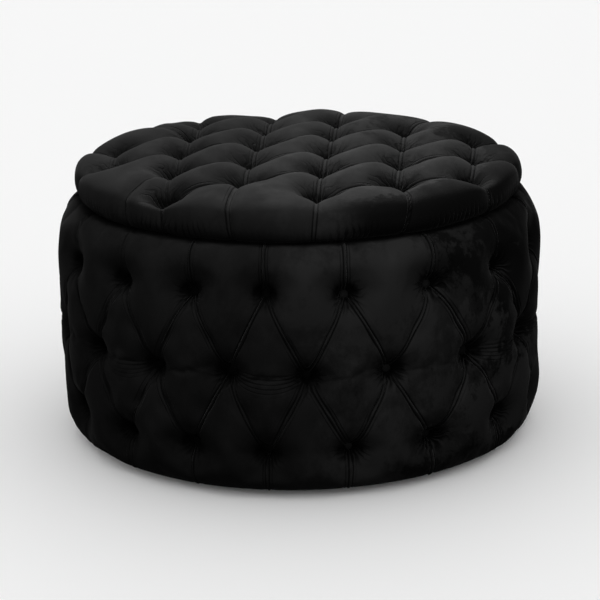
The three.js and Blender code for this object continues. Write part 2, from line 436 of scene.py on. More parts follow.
ROW_ARC = {row: side_profile.arc_at_height(z) for row, z in ROW_HEIGHTS.items()}
side_bow = random.uniform(-PLEAT_BOW, PLEAT_BOW, (2, 2 * SIDE_BUTTONS))
side_drift = [(waves, *random.uniform(0, FULL_TURN, 2)) for waves in HAND_DRIFT_WAVES]
gap_sag = random.uniform(*WRINKLE_SAGS, SIDE_BUTTONS)
gap_reach = random.uniform(*WRINKLE_REACHES, SIDE_BUTTONS)


def clear_of_edges(s, distance):
    """0 at both ends of the drum's profile and 1 further in than `distance`."""
    return smooth(s, 0, distance) * smooth(side_profile.length - s, 0, distance)


def drifted(angle, s):
    """The place of a point in a hand-made layout, which isn't quite even."""
    reach = HAND_DRIFT * clear_of_edges(s, 0.05)
    sideways = sum(np.sin(waves * angle + phase + 9 * s) for waves, phase, _ in side_drift)
    upward = sum(np.sin(waves * angle + phase - 7 * s) for waves, _, phase in side_drift)
    slow = SIDE_DRIFT * np.cos(3 * (angle - SIDE_DRIFT_PLACE))
    return angle + slow + sideways * reach / DRUM_RADIUS, s + upward * reach


class SideGrid:
    """The drum's grid. Rows run along the zigzag pleats, and columns stand on the upright ones."""

    def __init__(self, lines):
        t = np.arange(SIDE_COLUMNS * lines) / (SIDE_COLUMNS * lines)
        step = t - crowding(t, SIDE_COLUMN_CROWD, 1) - crowding(t, SIDE_COLUMN_CROWD, 2)
        count = np.arange(SIDE_BUTTONS)[:, None]
        angle = (SIDE_PHASE + (count + step - 0.5) * SIDE_STEP).reshape(-1)
        self.step = np.tile(step, SIDE_BUTTONS)
        self.nearness = 1 - 2 * np.abs(self.step - 0.5)
        pleat = (2 * count + (step > 0.5)).reshape(-1)
        bow = side_bow[:, pleat] * 4 * self.nearness * (1 - self.nearness)
        self.low = self.zigzag("low", -ROW_PINCH) + bow[0]
        self.high = self.zigzag("high", ROW_PINCH) + bow[1]
        low, middle, high = (np.arange(n * lines) / (n * lines) for n in SIDE_ROWS.values())
        high = np.append(high, 1.0)
        under = (low + crowding(low, LINE_CROWD, 0.5))[:, None]
        among = (middle - crowding(middle, LINE_CROWD, 2))[:, None]
        over = (high - crowding(high, LINE_CROWD, 0.5))[:, None]
        self.s = np.concatenate([
            under * self.low,
            self.low + among * (self.high - self.low),
            self.high + over * (side_profile.length - self.high),
        ])
        self.low_row = len(low)
        self.high_row = len(low) + len(middle)
        self.angle = np.broadcast_to(angle, self.s.shape)

    def zigzag(self, row, pinch):
        """Height of the pleats that run from a row's buttons to the middle row's."""
        return ROW_ARC[row] + (ROW_ARC["middle"] + pinch - ROW_ARC[row]) * self.nearness

    def upright(self):
        """Signed distance round the drum from the nearest upright pleat."""
        return ((self.step + 0.5) % 1 - 0.5) * SIDE_STEP * DRUM_RADIUS * np.ones_like(self.s)

    def across_zigzag(self, line):
        """Signed distance across a zigzag pleat."""
        rise = (ROW_ARC["high"] - ROW_ARC["middle"]) / (SIDE_STEP / 2 * DRUM_RADIUS)
        return (self.s - line) / math.hypot(1, rise)

    def past_rows(self):
        """How far each point is into the velvet above the high row and below the low row, from 0 to 1."""
        above = smooth(self.s - ROW_ARC["high"], 0, TUCK_FADE)
        return above, smooth(ROW_ARC["low"] - self.s, 0, TUCK_FADE)

    def nearest_button(self):
        return nearest_button(
            (wrapped(self.angle - angle) * DRUM_RADIUS, self.s - s) for _, _, angle, s in side_buttons()
        )


def side_buttons():
    """(row, number, angle, s) of each button of the drum, before the drift."""
    places = []
    for row, s in ROW_ARC.items():
        shift = 0 if row == "middle" else 0.5
        for k in range(SIDE_BUTTONS):
            places.append((row, k + 1, SIDE_PHASE + (k + shift) * SIDE_STEP, s))
    return places


def swollen_side():
    """The drum's velvet, swollen between its buttons and pleats."""
    grid = SideGrid(1)
    near, _, _ = grid.nearest_button()
    edge = np.minimum(grid.s, side_profile.length - grid.s)
    share = VALLEY_AT_EDGE + (1 - VALLEY_AT_EDGE) * smooth(edge, 0, SIDE_EDGE)
    depth = pitted(SIDE_VALLEY * share, SIDE_PIT, near, SIDE_PUCKER)
    angle, s = drifted(grid.angle, grid.s)
    start = side_profile.turned(s, angle, depth)
    hold = (near < BUTTON_RADIUS).astype(float)
    hold[[0, -1, grid.low_row, grid.high_row]] = 1
    on_upright = np.abs(grid.upright()) < ON_LINE
    row = np.arange(len(grid.s))[:, None]
    hold[on_upright & ((row > grid.high_row) | (row < grid.low_row))] = 1
    faces = grid_faces(*grid.s.shape, closed=True)
    result = within(inflate(start, faces, hold, SIDE_SLACK), start, SIDE_MOST)
    return finer(finer(result, 1, closed=True), 0, closed=False)


def side_relief(grid):
    """Tucks, wrinkles and gathers of the drum's velvet, as a height over the swollen cloth."""
    relief = tuck(grid.across_zigzag(grid.low)) + tuck(grid.across_zigzag(grid.high))
    upright = grid.upright()
    second = bell(np.abs(upright) - SECOND_CREASE_PLACE, *SECOND_CREASE)
    above, below = grid.past_rows()
    relief += (above + LOW_TUCK_SHARE * below) * (tuck(upright) - second)
    relief += gathers(*grid.nearest_button(), len(side_buttons()), rays=(9, 15), inner=0.013, length=0.013)
    line, mask = side_wrinkles(grid)
    return relief - WRINKLE_HEIGHT * mask * (0.5 + 0.5 * np.cos(FULL_TURN * line))


def side_wrinkles(grid):
    """Level wrinkles between neighbours in the middle row, which sag half-way and fade there in some gaps:
    the count across them, and their strength."""
    turns = (grid.angle - SIDE_PHASE) / SIDE_STEP
    gap = np.floor(turns).astype(int) % SIDE_BUTTONS
    way = turns - np.floor(turns)
    middle = 4 * way * (1 - way)
    spacing = WRINKLE_SPACING + WRINKLE_SPREAD * middle
    line = (grid.s - ROW_ARC["middle"] + gap_sag[gap] * middle) / spacing
    out = np.minimum(way, 1 - way) * SIDE_STEP * DRUM_RADIUS
    mask = smooth(out, *WRINKLE_START) * (1 - smooth(middle, gap_reach[gap] * 0.5, gap_reach[gap]))
    return line, mask * (1 - smooth(np.abs(line), *WRINKLE_COUNTS))


def store_side_fields(piece, grid):
    """What the velvet's material needs to know of the drum."""
    near, turn, _ = grid.nearest_button()
    # Painted shadow along the rim's top edge, in the gap under the lid.
    seam = 1 - smooth(side_profile.length - grid.s, *SIDE_SEAM)
    no_pleat = 0.05
    upright = np.abs(grid.upright()) + no_pleat * (1 - sum(grid.past_rows()))
    zigzag = np.minimum(np.abs(grid.across_zigzag(grid.low)), np.abs(grid.across_zigzag(grid.high)))
    # The first ring inside the rim gets full painted shade too, as shadow under the lid.
    under_lid = np.ones((1, grid.s.shape[1]))
    painted_shade_and_pressed_pile = np.maximum(pit_shade(near, SIDE_PIT_SHADE), seam)
    store(piece, "painted_shade_and_pressed_pile", np.concatenate([painted_shade_and_pressed_pile, under_lid]))
    for name, values in {**button_fields(near, turn), "pleat": np.minimum(zigzag, upright)}.items():
        store(piece, name, values, 1.0)
    line, mask = side_wrinkles(grid)
    store(piece, "wrinkle_line", line)
    store(piece, "wrinkle_mask", mask)


def side_inner_section():
    """Radius and height of the rings that close the drum's body: from the rim down behind the lining, and
    down the wall to the foot."""
    rim_edge = CAVITY_RADIUS + 0.004
    fold = CAVITY_RADIUS + VELVET
    wall = WALL_RADIUS + CLEARANCE
    lining_top = LINING_HIGH.z + CLEARANCE
    return [
        (rim_edge + 0.024, RIM_HEIGHT + 0.0004), (rim_edge + 0.008, RIM_HEIGHT),
        (rim_edge, RIM_HEIGHT - 0.0012), (CAVITY_RADIUS + 0.0008, RIM_HEIGHT - 0.004),
        (CAVITY_RADIUS, RIM_HEIGHT - 0.010), (CAVITY_RADIUS, lining_top), (fold, lining_top),
        (fold, RING_TOP + CLEARANCE), (wall, RING_TOP + CLEARANCE), (wall, UNDERSIDE + VELVET),
        (RETURN_RADIUS, UNDERSIDE + VELVET), (RETURN_RADIUS, UNDERSIDE),
    ]


def side_piece():
    """The drum's velvet with the foam behind it, as one closed body."""
    grid = SideGrid(2)
    points = swollen_side()
    lift = side_relief(grid)
    lift += SIDE_UNEVENNESS * Waves(SIDE_WAVES).at(points) * clear_of_edges(grid.s, 0.04)
    points += side_profile.turned_normal(grid.s, grid.angle) * lift[..., None]
    angle = drifted(grid.angle, grid.s)[0][0]
    rings = [around(r, z, angle) for r, z in side_inner_section()]
    rows = np.concatenate([points, np.stack(rings)])
    piece = new_piece("drum_velvet", rows, ring_faces(*rows.shape[:2]))
    store_side_fields(piece, grid)
    return piece


# -------- the lid's velvet

ALONG = np.array([math.sin(LID_TURN), math.cos(LID_TURN)])
ACROSS = np.array([math.cos(LID_TURN), -math.sin(LID_TURN)])
COLUMN_VECTOR = ALONG * LID_BUTTON_PITCH
SLANT_VECTOR = ACROSS * LID_COLUMN_PITCH + ALONG * LID_BUTTON_PITCH / 2


def lattice_place(up, across):
    """A place on the lid's plan, counted in pitches from the anchor button."""
    return np.multiply.outer(up, COLUMN_VECTOR) + np.multiply.outer(across, SLANT_VECTOR) + LID_ANCHOR


def lid_lattice():
    """Places of the lid's buttons on its plan, laid out flat, keyed by their counts."""
    places = {}
    for up, across in itertools.product(*(range(-most, most + 1) for most in LID_COUNTS)):
        place = lattice_place(up, across)
        if np.linalg.norm(place) < LID_BUTTON_REACH:
            places[up, across] = tuple(place)
    return places


LID_BUTTONS = lid_lattice()
LID_PLEATS = [
    (LID_BUTTONS[u, a], LID_BUTTONS[u + du, a + da])
    for u, a in LID_BUTTONS for du, da in ((1, 0), (0, 1)) if (u + du, a + da) in LID_BUTTONS
]


def outer_pleats():
    """Pleats from the outer buttons to the lid's edge: along the columns where these meet the edge head-on,
    and straight outwards elsewhere."""
    column_pull = 3
    pleats = []
    for (u, a), place in LID_BUTTONS.items():
        beside = [(u + 1, a), (u - 1, a), (u, a + 1), (u, a - 1), (u + 1, a - 1), (u - 1, a + 1)]
        if all(neighbour in LID_BUTTONS for neighbour in beside):
            continue
        outward = np.array(place) / math.hypot(*place)
        outward = outward + column_pull * np.dot(outward, ALONG) ** 3 * ALONG
        outward /= np.linalg.norm(outward)
        middle = np.dot(place, outward)
        reach = -middle + math.sqrt(middle ** 2 + LID_REACH ** 2 - np.dot(place, place))
        pleats.append((place, tuple(place + outward * reach)))
    return pleats


OUTER_PLEATS = outer_pleats()


class LidGrid:
    """The lid's grid, laid out flat. Its lines run along the pleats between the buttons, and crowd there."""

    def __init__(self, lines):
        count = LID_LINES * lines
        counts = (np.arange(-most * count, most * count + 1) / count for most in LID_COUNTS)
        counts = np.meshgrid(*(t - crowding(t, LINE_CROWD, 1) for t in counts), indexing="ij")
        place = lattice_place(*counts)
        self.x, self.y = place[..., 0], place[..., 1]
        self.radius = np.hypot(self.x, self.y)

    def fit_to_edge(self):
        """The cells inside the lid's edge. The points on their outline are moved to the edge itself."""
        inside = self.radius <= LID_REACH
        faces = grid_faces(*self.x.shape, closed=False)
        kept = faces[inside.reshape(-1)[faces].all(-1)]
        uses = np.zeros(self.x.size, int)
        np.add.at(uses, kept.reshape(-1), 1)
        outline = ((uses > 0) & (uses < 4)).reshape(self.x.shape)
        scale = np.where(outline, LID_REACH / np.maximum(self.radius, ON_LINE), 1)
        self.x, self.y = self.x * scale, self.y * scale
        self.radius = self.radius * scale
        return kept

    def angle(self):
        return np.arctan2(self.x, -self.y)

    def nearest_button(self):
        return nearest_button((self.x - x, self.y - y) for x, y in LID_BUTTONS.values())

    def pleat_distances(self):
        """Distances to the nearest pleat between buttons and to the nearest one that runs to the edge."""
        return (distance_to_segments(self.x, self.y, pleats) for pleats in (LID_PLEATS, OUTER_PLEATS))


def lid_depth(grid, near, pleat, outer):
    """How deep the velvet lies before it swells: valleys along the pleats, and pits at the buttons."""
    deepening = (LID_OUTER_VALLEY - LID_RIM_VALLEY) * np.exp(-near / LID_OUTER_VALLEY_LENGTH)
    outer_valley = (LID_RIM_VALLEY + deepening) * np.exp(-outer / LID_OUTER_VALLEY_WIDTH)
    valley = np.maximum(LID_VALLEY * np.exp(-pleat / LID_VALLEY_WIDTH), outer_valley)
    valley = (LID_MIDDLE_DEPTH + valley) * smooth(LID_FOOT_ARC - grid.radius, 0, LID_EDGE)
    return pitted(valley, LID_PIT, near, LID_PUCKER)


def swollen_lid():
    """The lid's velvet, swollen between its buttons and pleats."""
    grid = LidGrid(1)
    kept = grid.fit_to_edge()
    near, _, _ = grid.nearest_button()
    pleat, outer = grid.pleat_distances()
    start = lid_profile.turned(grid.radius, grid.angle(), lid_depth(grid, near, pleat, outer))
    held = (near < BUTTON_RADIUS) | (pleat < HELD_PLEAT) | (grid.radius > LID_FOOT_ARC - HELD_EDGE)
    hold = np.maximum(held, bell(outer, *OUTER_PLEAT_HOLD))
    result = within(inflate(start, kept, hold, LID_SLACK), start, LID_MOST)
    return finer(finer(result, 1, closed=False), 0, closed=False)


def hem_gathers(grid):
    """Small folds across the lid's flank, in clusters round it."""
    angle = grid.angle()
    folds = np.sin(HEM_FOLDS * angle + 6 * np.sin(7 * angle))
    clusters = smooth(np.sin(HEM_CLUSTERS * angle + 1), 0, 0.7)
    to_edge = LID_FOOT_ARC - grid.radius
    flank = (1 - smooth(to_edge, 0.02, 0.055)) * smooth(to_edge, -0.01, 0.005)
    return HEM_FOLD_HEIGHT * folds * clusters * flank


def lid_relief(grid):
    """Tucks, gathers and puckers of the lid's velvet, as a height over the swollen cloth."""
    pleat, outer = grid.pleat_distances()
    relief = tuck(pleat) - bell(outer, *OUTER_PLEAT)
    relief += gathers(*grid.nearest_button(), len(LID_BUTTONS), rays=(10, 16), inner=0.014, length=0.015)
    return relief + hem_gathers(grid)


def lid_piece():
    """The lid's velvet with the foam under it, as one closed body."""
    grid = LidGrid(2)
    points = swollen_lid()
    kept = grid.fit_to_edge()
    lift = lid_relief(grid) + LID_UNEVENNESS * Waves(LID_WAVES).at(points)
    lift *= smooth(LID_REACH - grid.radius, 0.02, 0.06)
    points += lid_profile.turned_normal(grid.radius, grid.angle()) * lift[..., None]
    on_edge = grid.radius > LID_REACH - ON_LINE
    points = np.where(on_edge[..., None], lid_profile.turned(grid.radius, grid.angle(), 0), points)
    used, packed = np.unique(kept.reshape(-1), return_inverse=True)
    piece = new_piece("lid_velvet", points.reshape(-1, 3)[used], packed.reshape(-1, 4))
    store_lid_fields(piece, grid, used)
    board_edge = LID_BOARD_HIGH.x + CLEARANCE
    board_top = LID_BOARD_HIGH.z + CLEARANCE
    close_with_rings(piece, [
        (LID_LINING_RADIUS + CLEARANCE, LID_BASE + VELVET), (board_edge, LID_BASE + VELVET + CLEARANCE),
        (board_edge, board_top), (board_edge - 0.05, board_top),
    ])
    return piece


def store_lid_fields(piece, grid, used):
    """What the velvet's material needs to know of the lid."""
    near, turn, _ = grid.nearest_button()
    inside = LID_FOOT_ARC - grid.radius
    fields = {
        # Painted shade at the pits, and painted shadow along the lid's bottom edge over the gap.
        "painted_shade_and_pressed_pile": np.maximum(pit_shade(near, LID_PIT_SHADE), 1 - smooth(inside, *LID_SEAM)),
        "hem": 1 - smooth(inside, *LID_HEM),
        **button_fields(near, turn),
        "pleat": np.minimum(*grid.pleat_distances()),
    }
    for name, values in fields.items():
        store(piece, name, values.reshape(-1)[used])


def close_with_rings(piece, rings):
    """Carries the open edge of a piece through rings of given radius and height, and fills the last one."""
    bm = bmesh.new()
    bm.from_mesh(piece.data)
    edges = [e for e in bm.edges if e.is_boundary]
    for radius, z in rings:
        made = bmesh.ops.extrude_edge_only(bm, edges=edges)["geom"]
        for v in (g for g in made if isinstance(g, bmesh.types.BMVert)):
            scale = radius / math.hypot(v.co.x, v.co.y)
            v.co = (v.co.x * scale, v.co.y * scale, z)
        edges = [g for g in made if isinstance(g, bmesh.types.BMEdge) and g.is_boundary]
    bmesh.ops.contextual_create(bm, geom=edges)
    bmesh.ops.recalc_face_normals(bm, faces=bm.faces)
    bm.to_mesh(piece.data)
    bm.free()


# -------- buttons

# Half of a button's section, as shares of its radius and height. Its folds turn with its place along X.
BUTTON_SECTION = [(0.25, 0.97), (0.5, 0.87), (0.72, 0.68), (0.88, 0.42), (0.97, 0.14), (1.0, -0.12),
                  (0.96, -0.42), (0.80, -0.62)]
BUTTON_SIDES = 28
BUTTON_FOLDS = 7
BUTTON_FOLD = 0.03
BUTTON_TURNING = 900


def button_piece(name, place, outside, button_shade):
    """A button covered in velvet: a low folded dome with a rounded edge, which faces the point `outside`."""
    turn = np.arange(BUTTON_SIDES) / BUTTON_SIDES * FULL_TURN
    shares = np.array(BUTTON_SECTION)[..., None]
    outwards = np.arange(1, len(shares) + 1)[:, None] / len(shares)
    fold = 1 + BUTTON_FOLD * np.sin(turn * BUTTON_FOLDS + place[0] * BUTTON_TURNING) * outwards
    r = shares[:, 0] * BUTTON_RADIUS * fold
    z = shares[:, 1] * BUTTON_HEIGHT * np.ones(BUTTON_SIDES)
    dome = np.stack([r * np.cos(turn), r * np.sin(turn), z], -1).reshape(-1, 3)
    points = np.concatenate([dome, [[0, 0, BUTTON_HEIGHT], [0, 0, z[-1, 0]]]])
    faces = grid_faces(len(shares), BUTTON_SIDES, closed=True).reshape(-1, 4)[:, ::-1].tolist()
    top, bottom = len(dome), len(dome) + 1
    last = len(dome) - BUTTON_SIDES
    following = np.roll(np.arange(BUTTON_SIDES), -1).tolist()
    faces += [[top, k, n] for k, n in enumerate(following)]
    faces += [[bottom, last + n, last + k] for k, n in enumerate(following)]
    piece = new_piece(name, points, faces)
    facing = Vector(outside - place).to_track_quat("Z", "Y").to_matrix().to_4x4()
    piece.data.transform(Matrix.Translation(Vector(place)) @ facing)
    everywhere = np.ones(len(points))
    # Painted shade over the whole button.
    store(piece, "painted_shade_and_pressed_pile", button_shade * everywhere)
    for field in ("button_near", "button_x", "button_y", "pleat"):
        store(piece, field, everywhere)
    return piece


def button_seat(profile, s, angle, pit):
    """Where a button sits in its pit, and a point straight outside it."""
    depth = pit - BUTTON_LIFT
    return profile.turned(s, angle, depth), profile.turned(s, angle, depth - BUTTON_RADIUS)


def make_buttons():
    """(piece, body) of every button. Each gets painted shade, less of it on the drum's buttons right of
    the middle, where the light falls.
    """
    buttons = []
    for row, number, angle, s in side_buttons():
        angle, s = drifted(angle, s)
        place, outside = button_seat(side_profile, s, angle, SIDE_PIT)
        lit = smooth(place[0], 0, LIT_BUTTONS_FULL)
        button_shade = BUTTON_PAINTED_SHADE + (LIT_BUTTON_PAINTED_SHADE - BUTTON_PAINTED_SHADE) * lit
        buttons.append((button_piece(f"button_{row}_{number}", place, outside, button_shade), "drum"))
    for number, (x, y) in enumerate(LID_BUTTONS.values(), 1):
        place, outside = button_seat(lid_profile, math.hypot(x, y), math.atan2(x, -y), LID_PIT)
        buttons.append((button_piece(f"button_lid_{number}", place, outside, BUTTON_PAINTED_SHADE), "lid"))
    return buttons


# -------- linings

LINING_TURN = np.arange(180) / 180 * FULL_TURN


def tube_piece(name, inner, outer, low, high):
    """An upright tube with a wall from radius `inner` to `outer`."""
    section = ((inner, low), (outer, low), (outer, high), (inner, high))
    rows = np.stack([around(r, z, LINING_TURN) for r, z in section])
    return new_piece(name, rows, ring_faces(*rows.shape[:2]))


def disc_piece(name, radius, low, high):
    """A flat round sheet."""
    rims = np.stack([around(radius, z, LINING_TURN) for z in (low, high)])
    sides = len(LINING_TURN)
    faces = grid_faces(2, sides, closed=True).reshape(-1, 4).tolist()
    faces += [list(range(sides, 2 * sides)), list(range(sides))[::-1]]
    return new_piece(name, rims, faces)


# -------- materials

class Shader:
    """A Principled material and short ways to add nodes to it."""

    def __init__(self, name, colour, roughness, sockets):
        self.material = bpy.data.materials.new(name)
        self.material.use_nodes = True
        self.tree = self.material.node_tree
        self.bsdf = self.tree.nodes["Principled BSDF"]
        for socket, value in {"Base Color": colour, "Roughness": roughness, **sockets}.items():
            self.bsdf.inputs[socket].default_value = value
        self.where = self.node("TexCoord").outputs["Object"]

    def link(self, value, socket):
        self.tree.links.new(value, self.bsdf.inputs[socket])

    def vary_roughness(self, noise, low, high):
        self.link(self.between(noise, *MOST_OF_NOISE, low, high), "Roughness")

    def node(self, kind, inputs=(), **settings):
        node = self.tree.nodes.new("ShaderNode" + kind)
        for key, value in settings.items():
            setattr(node, key, value)
        for key, value in dict(inputs).items():
            if isinstance(value, bpy.types.NodeSocket):
                self.tree.links.new(value, node.inputs[key])
            else:
                node.inputs[key].default_value = value
        return node

    def noise(self, scale, detail=3, roughness=0.5, distortion=0, where=None):
        inputs = {"Vector": where or self.where, "Scale": scale, "Detail": detail, "Roughness": roughness,
                  "Distortion": distortion}
        return self.node("TexNoise", inputs).outputs["Fac"]

    def stretched(self, scale, moved=(0, 0, 0)):
        inputs = {"Vector": self.where, "Scale": scale, "Location": moved}
        return self.node("Mapping", inputs).outputs["Vector"]

    def split(self, vector):
        return self.node("SeparateXYZ", {"Vector": vector}).outputs

    def attribute(self, name):
        return self.node("Attribute", attribute_name=name).outputs["Fac"]

    def between(self, value, low, high, out_low=0.0, out_high=1.0):
        """A smooth change from `out_low` at `low` to `out_high` at `high`."""
        inputs = {"Value": value, "From Min": low, "From Max": high, "To Min": out_low, "To Max": out_high}
        return self.node("MapRange", inputs, interpolation_type="SMOOTHSTEP").outputs["Result"]

    def maths(self, operation, *values):
        return self.node("Math", dict(enumerate(values)), operation=operation).outputs[0]

    def times(self, first, *others):
        for other in others:
            first = self.maths("MULTIPLY", first, other)
        return first

    def plus(self, first, *others):
        for other in others:
            first = self.maths("ADD", first, other)
        return first

    def distance(self, value, other):
        return self.maths("ABSOLUTE", self.maths("SUBTRACT", value, other))

    def cosine(self, *phases):
        return self.maths("COSINE", self.plus(*phases))

    def mix(self, fraction, first, second):
        """A colour from `first` to `second`. The numbers are the places of the node's colour sockets."""
        return self.node("Mix", {0: fraction, 6: first, 7: second}, data_type="RGBA").outputs[2]

    def bump(self, height, distance, strength):
        inputs = {"Height": height, "Distance": distance, "Strength": strength}
        if self.bsdf.inputs["Normal"].is_linked:
            inputs["Normal"] = self.bsdf.inputs["Normal"].links[0].from_socket
        self.link(self.node("Bump", inputs).outputs["Normal"], "Normal")


def grey(value):
    return value, value, value, 1


# The levels that a noise mostly stays between.
MOST_OF_NOISE = (0.3, 0.7)

# Grey levels of the velvet: the pile's own tones and nap, with painted light, sheen, highlights and shade.
PILE = grey(0.0008)
PILE_LOW, PILE_HIGH = grey(0.0007), grey(0.0010)
PAINTED_LIGHT_BAND_PILE = grey(0.0018)
STROKED_PILE = grey(0.0021)
LID_PAINTED_SHEEN_PILE = grey(0.0027)
DARK_NAP_AND_SHADE_PILE = grey(0.00032)
FLANK_SHADE_PILE = grey(0.00034)
RIDGE_HIGHLIGHT_PILE = grey(0.0019)
LIT_PILE = grey(0.0022)
PAINTED_SHADE_PILE = grey(0.00003)

# Places, mostly along X, between which each patch fades in: nap where the pile lies another way, and
# painted light and shade.
RIGHT_SIDE = (-0.05, 0.28)
BAND_LEFT, BAND_RIGHT = (-0.11, 0.03), (0.33, 0.20)
LID_SHEEN = (-0.14, 0.10)
RIGHT_EDGE_SHADE = (0.22, 0.37)
BESIDE_PIT = (0.066, 0.024)
FLANK_LEFT, FLANK_BACK = (0.05, 0.12), (0.10, 0.0)
FLANK_WIDENING, FLANK_RADIUS = (0.10, 0.25), (0.372, 0.335)
LID_HEIGHTS = (0.421, 0.430)

# Levels of the ragged noise between which each patch fades in.
BAND_EDGE, STROKED_EDGE = (0.46, 0.54), (0.512, 0.540)
DARK_EDGE, SHADE_BESIDE_PIT_EDGE = (0.496, 0.462), (0.520, 0.490)

# The fine folds, in metres from their line or their button, and the painted shade each puts in the pile.
CREASE_FADE = (0.0020, 0.0002)
RIDGE_FADE = (0.0032, 0.0004)
SECOND_FADE = (0.0016, 0.0002)
OPEN_TUCKS = (-0.27, -0.12)
FAN_RAYS = 15
FAN_START = (0.010, 0.015)
FAN_FULL = 0.016
FAN_ENDS = (0.042, 0.058)
HEM_GATHERS = 230
PAINTED_SHADE_AMOUNTS = {"crease": 0.8, "second": 0.45, "gather": 0.7, "fan": 0.55, "wrinkle": 0.48, "painted_shade_and_pressed_pile": 0.97}
SINKING = {"crease": 1, "second": 0.7, "gather": 1.2, "fan": 0.7, "wrinkle": 0.7}


def velvet():
    sheen = {"Sheen Weight": 0.003, "Sheen Roughness": 0.35}
    m = Shader("velvet", PILE, 0.85, {**sheen, "Specular IOR Level": 0.005})
    brushed = m.noise(26, detail=4, roughness=0.6, where=m.stretched((1, 1, 0.45)))
    colour = m.mix(m.between(brushed, *MOST_OF_NOISE), PILE_LOW, PILE_HIGH)
    place = m.split(m.where)
    right = m.between(place["X"], *RIGHT_SIDE)
    lid = m.between(place["Z"], *LID_HEIGHTS)
    colour = nap_and_painted_light(m, colour, place, right, lid)
    colour, height = velvet_folds(m, colour, place, right, lid)
    m.link(colour, "Base Color")
    m.vary_roughness(brushed, 0.78, 0.92)
    m.bump(height, 0.0014, 0.9)
    m.bump(m.noise(70, detail=3, roughness=0.6), 0.0005, 0.2)
    m.bump(m.noise(1400, detail=2), 0.0004, 0.3)
    return m.material


def nap_and_painted_light(m, colour, place, right, lid):
    """Ragged patches where the pile has been stroked another way, mostly on the right. Painted shade
    darkens the far right and the lid beside its pits, a painted lighter band stands right of the middle
    where the light falls, painted sheen lightens the lid's right part, and painted shade darkens its
    front right flank."""
    x = place["X"]
    moved = m.stretched((1, 1, 1), moved=(-0.075, 0, 0))
    broad = m.noise(4.5, detail=13, roughness=0.68, distortion=0.3, where=moved)
    fine = m.noise(40, detail=9, roughness=0.8, where=m.stretched((1, 1, 0.7)))
    ragged = m.plus(m.times(broad, 0.72), m.times(fine, 0.28))
    # A painted lighter band right of the middle, where the light falls, with ragged edges.
    band = m.times(m.between(x, *BAND_LEFT), m.between(x, *BAND_RIGHT))
    band = m.times(band, m.between(ragged, *BAND_EDGE, 0.35, 1))
    stroked = m.times(m.between(ragged, *STROKED_EDGE), m.between(right, 0, 1, 0.12, 1))
    # Dark nap patches, mostly on the right, with painted shade added towards the far right edge.
    right_edge_shaded = m.plus(ragged, m.between(x, *RIGHT_EDGE_SHADE, 0.030, -0.048))
    dark = m.times(m.between(right_edge_shaded, *DARK_EDGE), m.between(right, 0, 1, 0.16, 1))
    # Painted shade beside the lid's pits, with ragged edges.
    beside_pit = m.between(m.attribute("button_near"), *BESIDE_PIT)
    shade_beside_pit = m.times(m.between(ragged, *SHADE_BESIDE_PIT_EDGE), beside_pit, lid, 0.75)
    colour = m.mix(band, colour, PAINTED_LIGHT_BAND_PILE)
    colour = m.mix(stroked, colour, STROKED_PILE)
    # Painted sheen on the lid, on its right part.
    colour = m.mix(m.times(lid, m.between(x, *LID_SHEEN, 0, 0.5)), colour, LID_PAINTED_SHEEN_PILE)
    colour = m.mix(m.maths("MAXIMUM", dark, shade_beside_pit), colour, DARK_NAP_AND_SHADE_PILE)
    return m.mix(lid_flank_painted_shade(m, place, lid, fine), colour, FLANK_SHADE_PILE)


def lid_flank_painted_shade(m, place, lid, fine):
    """Painted shade on the lid's front right flank, below its lit crest. Its upper edge is ragged."""
    x = place["X"]
    level = m.stretched((1, 1, 0))
    out = m.node("VectorMath", {"Vector": level}, operation="LENGTH").outputs["Value"]
    past = m.maths("SUBTRACT", out, m.between(x, *FLANK_WIDENING, *FLANK_RADIUS))
    past = m.plus(past, m.times(m.maths("SUBTRACT", fine, 0.5), 0.10))
    sides = m.times(m.between(x, *FLANK_LEFT), m.between(place["Y"], *FLANK_BACK))
    return m.times(m.between(past, -0.005, 0.005), sides, lid)


def velvet_folds(m, colour, place, right, lid):
    """The pile's colour with its fine folds drawn in, and their height: painted shade in creases, gathers,
    wrinkles and pits, and painted highlights on tuck ridges and lit gather sides. Tucks lie closed on the
    far left.
    """
    apart = m.between(place["X"], *OPEN_TUCKS, 0.12, 1)
    ridge, folds = pleat_folds(m, apart)
    folds["gather"] = hem_folds(m, place)
    folds["fan"], lit, folds["painted_shade_and_pressed_pile"] = button_folds(m, right, lid)
    wave = m.cosine(m.times(m.attribute("wrinkle_line"), FULL_TURN))
    wrinkle = m.times(m.between(wave, 0.1, 1), m.attribute("wrinkle_mask"))
    folds["wrinkle"] = m.times(wrinkle, m.between(apart, 0, 1, 0.35, 1))
    # Painted highlight along the tucks' ridges; painted shade in the folds and pits follows.
    colour = m.mix(m.times(ridge, 0.10), colour, RIDGE_HIGHLIGHT_PILE)
    for name, amount in PAINTED_SHADE_AMOUNTS.items():
        colour = m.mix(m.times(folds[name], amount), colour, PAINTED_SHADE_PILE)
    # Painted highlight on the lit sides of the gathers below the buttons.
    colour = m.mix(m.times(lit, 0.45), colour, LIT_PILE)
    sunk = m.plus(*(m.times(folds[name], amount) for name, amount in SINKING.items()))
    return colour, m.maths("SUBTRACT", m.times(ridge, 0.5), sunk)


def pleat_folds(m, apart):
    """The ridge of each tuck, the creases at its sides and a fainter one further out."""
    pleat = m.attribute("pleat")
    ridge = m.times(m.between(pleat, *RIDGE_FADE), apart)
    crease = m.between(m.distance(pleat, m.times(apart, TUCK_HALF_WIDTH)), *CREASE_FADE)
    second = m.between(m.distance(pleat, SECOND_CREASE_PLACE), *SECOND_FADE)
    second = m.times(second, m.between(m.noise(9), 0.45, 0.58))
    return ridge, {"crease": crease, "second": second}


